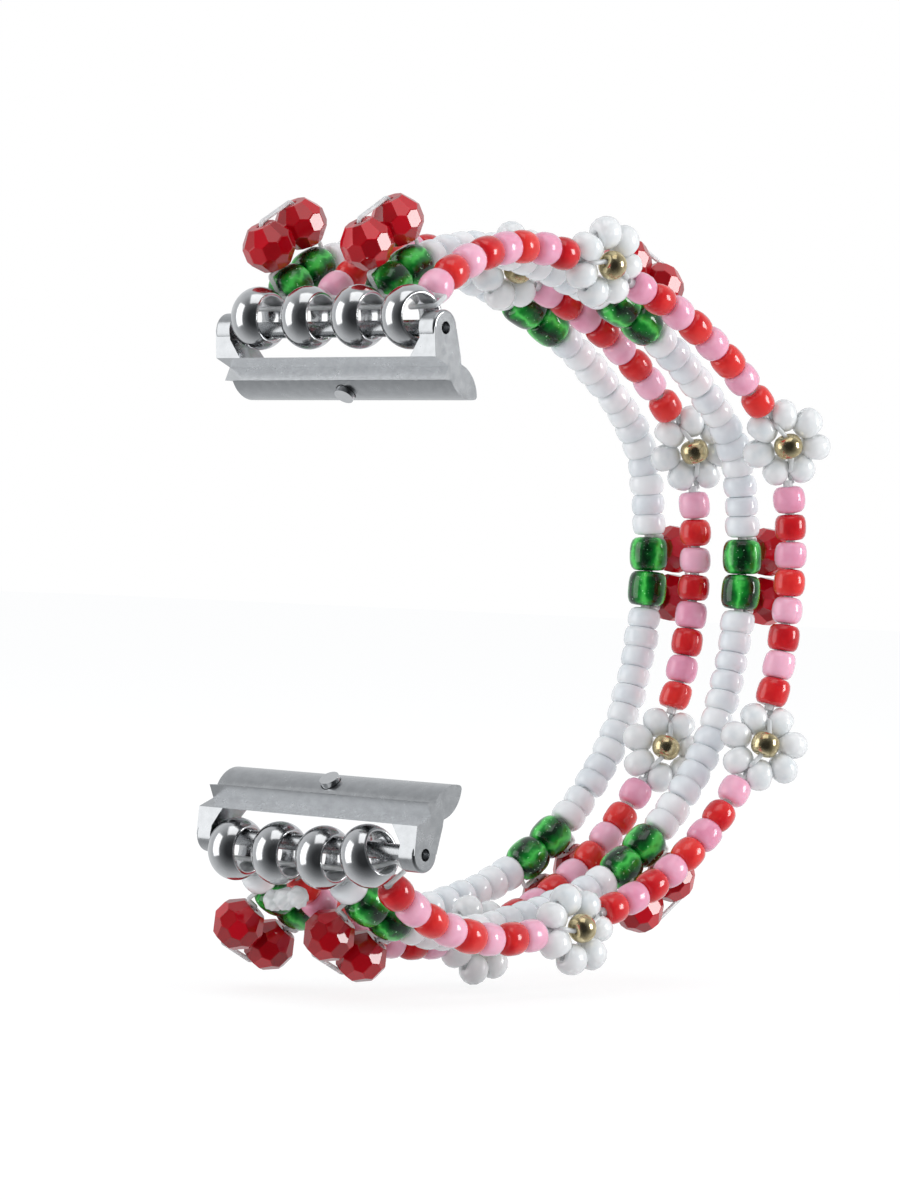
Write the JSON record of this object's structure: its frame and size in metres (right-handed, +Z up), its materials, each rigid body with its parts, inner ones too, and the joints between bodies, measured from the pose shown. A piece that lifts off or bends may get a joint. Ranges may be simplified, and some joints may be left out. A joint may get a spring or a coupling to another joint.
{
  "type": "bead watch band",
  "caption": "Elastic bead band for a wrist: strands of glass beads with flowers, leaves and cherries, looped on steel rings between two sprung lug adapters.",
  "frame": {"origin": "centre of the top adapter's foot", "axes": "+X across the band to the right, +Y from the front of the band to its back, +Z up from the bottom adapter to the top one"},
  "size_m": [0.0312, 0.0612, 0.0709],
  "materials": {
    "polished_steel": "polished stainless steel",
    "spring_steel": "drawn spring wire",
    "red_glass": "glossy opaque to translucent red glass",
    "pink_glass": "glossy milky pink glass",
    "white_glass": "milky white glass",
    "green_glass": "silver-lined emerald glass",
    "pearl_glass": "translucent milky glass",
    "champagne_metal": "polished champagne plating",
    "cherry_glass": "faceted transparent deep red glass",
    "clear_elastic": "clear milky elastic cord"
  },
  "bodies": {
    "top_adapter": {"top_adapter": "polished_steel", "top_bar_tube": "polished_steel", "top_bar_spring": "spring_steel", "top_lock_spring": "spring_steel"},
    "top_bar_tip_left": {"top_bar_tip_left": "polished_steel"},
    "top_bar_tip_right": {"top_bar_tip_right": "polished_steel"},
    "top_lock_stud": {"top_lock_stud": "polished_steel"},
    "top_end_strands": {"top_end_pink_beads": "pink_glass", "top_end_red_beads": "red_glass", "top_end_white_beads": "white_glass", "top_end_leaf_beads": "green_glass", "top_end_cords": "clear_elastic", "top_rings": "polished_steel"},
    "top_side_strands": {"top_side_pink_beads": "pink_glass", "top_side_red_beads": "red_glass", "top_side_white_beads": "white_glass", "top_side_leaf_beads": "green_glass", "top_side_cords": "clear_elastic", "top_side_petals": "pearl_glass", "top_side_flower_centres": "champagne_metal"},
    "back_strands": {"back_pink_beads": "pink_glass", "back_red_beads": "red_glass", "back_white_beads": "white_glass", "back_leaf_beads": "green_glass", "back_cords": "clear_elastic", "back_petals": "pearl_glass", "back_flower_centres": "champagne_metal"},
    "bottom_side_strands": {"bottom_side_pink_beads": "pink_glass", "bottom_side_red_beads": "red_glass", "bottom_side_white_beads": "white_glass", "bottom_side_leaf_beads": "green_glass", "bottom_side_cords": "clear_elastic", "bottom_side_petals": "pearl_glass", "bottom_side_flower_centres": "champagne_metal"},
    "bottom_end_strands": {"bottom_end_pink_beads": "pink_glass", "bottom_end_red_beads": "red_glass", "bottom_end_white_beads": "white_glass", "bottom_end_leaf_beads": "green_glass", "bottom_end_cords": "clear_elastic", "bottom_rings": "polished_steel", "bottom_end_knot": "clear_elastic"},
    "cherries_top_end_left": {"cherries_top_end_left": "cherry_glass"},
    "cherries_top_end_right": {"cherries_top_end_right": "cherry_glass"},
    "cherries_top_side_left": {"cherries_top_side_left": "cherry_glass"},
    "cherries_top_side_right": {"cherries_top_side_right": "cherry_glass"},
    "cherries_back_left": {"cherries_back_left": "cherry_glass"},
    "cherries_back_right": {"cherries_back_right": "cherry_glass"},
    "cherries_bottom_side_left": {"cherries_bottom_side_left": "cherry_glass"},
    "cherries_bottom_side_right": {"cherries_bottom_side_right": "cherry_glass"},
    "cherries_bottom_end_left": {"cherries_bottom_end_left": "cherry_glass"},
    "cherries_bottom_end_right": {"cherries_bottom_end_right": "cherry_glass"},
    "bottom_adapter": {"bottom_adapter": "polished_steel", "bottom_bar_tube": "polished_steel", "bottom_bar_spring": "spring_steel", "bottom_lock_spring": "spring_steel"},
    "bottom_bar_tip_left": {"bottom_bar_tip_left": "polished_steel"},
    "bottom_bar_tip_right": {"bottom_bar_tip_right": "polished_steel"},
    "bottom_lock_stud": {"bottom_lock_stud": "polished_steel"}
  },
  "joints": [
    {"name": "top_pivot", "type": "hinge", "parent": "top_adapter", "child": "top_end_strands", "pos_m": [0, -0.0026, 0.0044], "axis": [1, 0, 0], "range_deg": [-20, 45]},
    {"name": "top_end_flex", "type": "hinge", "parent": "top_end_strands", "child": "top_side_strands", "pos_m": [0, 0.01466, 0.01289], "axis": [1, 0, 0], "range_deg": [-10, 18]},
    {"name": "top_side_flex", "type": "hinge", "parent": "top_side_strands", "child": "back_strands", "pos_m": [0, 0.04351, 0.00179], "axis": [1, 0, 0], "range_deg": [-10, 18]},
    {"name": "back_flex", "type": "hinge", "parent": "back_strands", "child": "bottom_side_strands", "pos_m": [0, 0.04231, -0.03746], "axis": [1, 0, 0], "range_deg": [-10, 18]},
    {"name": "bottom_side_flex", "type": "hinge", "parent": "bottom_side_strands", "child": "bottom_end_strands", "pos_m": [0, 0.01447, -0.04947], "axis": [1, 0, 0], "range_deg": [-10, 18]},
    {"name": "bottom_pivot", "type": "hinge", "parent": "bottom_end_strands", "child": "bottom_adapter", "pos_m": [0, -0.0026, -0.0403], "axis": [1, 0, 0], "range_deg": [-20, 45]},
    {"name": "top_bar_tip_left_slide", "type": "slide", "parent": "top_adapter", "child": "top_bar_tip_left", "axis": [1, 0, 0], "range_m": [0, 0.00095], "stiffness_N_per_m": 400, "springref_m": -0.0012},
    {"name": "top_bar_tip_right_slide", "type": "slide", "parent": "top_adapter", "child": "top_bar_tip_right", "axis": [-1, 0, 0], "range_m": [0, 0.00095], "stiffness_N_per_m": 400, "springref_m": -0.0012},
    {"name": "top_lock_stud_press", "type": "slide", "parent": "top_adapter", "child": "top_lock_stud", "axis": [0, 0.5736, 0.8192], "range_m": [0, 0.00045], "stiffness_N_per_m": 400, "springref_m": -0.0005},
    {"name": "bottom_bar_tip_left_slide", "type": "slide", "parent": "bottom_adapter", "child": "bottom_bar_tip_left", "axis": [1, 0, 0], "range_m": [0, 0.00095], "stiffness_N_per_m": 400, "springref_m": -0.0012},
    {"name": "bottom_bar_tip_right_slide", "type": "slide", "parent": "bottom_adapter", "child": "bottom_bar_tip_right", "axis": [-1, 0, 0], "range_m": [0, 0.00095], "stiffness_N_per_m": 400, "springref_m": -0.0012},
    {"name": "bottom_lock_stud_press", "type": "slide", "parent": "bottom_adapter", "child": "bottom_lock_stud", "axis": [0, 0.5736, -0.8192], "range_m": [0, 0.00045], "stiffness_N_per_m": 400, "springref_m": -0.0005},
    {"name": "cherries_top_end_left_swing", "type": "hinge", "parent": "top_end_strands", "child": "cherries_top_end_left", "pos_m": [-0.00884, 0.003, 0.00956], "axis": [-0.0087, 0.8628, 0.5055], "range_deg": [-30, 35]},
    {"name": "cherries_top_end_right_swing", "type": "hinge", "parent": "top_end_strands", "child": "cherries_top_end_right", "pos_m": [0.0025, 0.00299, 0.00956], "axis": [-0.0366, 0.862, 0.5056], "range_deg": [-30, 35]},
    {"name": "cherries_top_side_left_swing", "type": "hinge", "parent": "top_side_strands", "child": "cherries_top_side_left", "pos_m": [-0.00613, 0.03368, 0.00848], "axis": [0.1449, 0.8956, -0.4207], "range_deg": [-35, 35]},
    {"name": "cherries_top_side_right_swing", "type": "hinge", "parent": "top_side_strands", "child": "cherries_top_side_right", "pos_m": [0.00496, 0.03368, 0.00848], "axis": [0.1449, 0.8956, -0.4206], "range_deg": [-35, 35]},
    {"name": "cherries_back_left_swing", "type": "hinge", "parent": "back_strands", "child": "cherries_back_left", "pos_m": [-0.00309, 0.04919, -0.01537], "axis": [0.002, -0.0242, -0.9997], "range_deg": [-35, 35]},
    {"name": "cherries_back_right_swing", "type": "hinge", "parent": "back_strands", "child": "cherries_back_right", "pos_m": [0.00801, 0.04919, -0.01537], "axis": [0.0021, -0.0242, -0.9997], "range_deg": [-35, 35]},
    {"name": "cherries_bottom_side_left_swing", "type": "hinge", "parent": "bottom_side_strands", "child": "cherries_bottom_side_left", "pos_m": [-0.0059, 0.03712, -0.04231], "axis": [-0.1601, -0.7938, -0.5867], "range_deg": [-45, 20]},
    {"name": "cherries_bottom_side_right_swing", "type": "hinge", "parent": "bottom_side_strands", "child": "cherries_bottom_side_right", "pos_m": [0.0052, 0.03712, -0.04231], "axis": [-0.1601, -0.7938, -0.5867], "range_deg": [-45, 20]},
    {"name": "cherries_bottom_end_left_swing", "type": "hinge", "parent": "bottom_end_strands", "child": "cherries_bottom_end_left", "pos_m": [-0.00954, 0.00497, -0.04645], "axis": [0.022, -0.903, 0.429], "range_deg": [-3, 65]},
    {"name": "cherries_bottom_end_right_swing", "type": "hinge", "parent": "bottom_end_strands", "child": "cherries_bottom_end_right", "pos_m": [0.00119, 0.00499, -0.04646], "axis": [-0.0267, -0.9031, 0.4285], "range_deg": [-3, 65]}
  ]
}
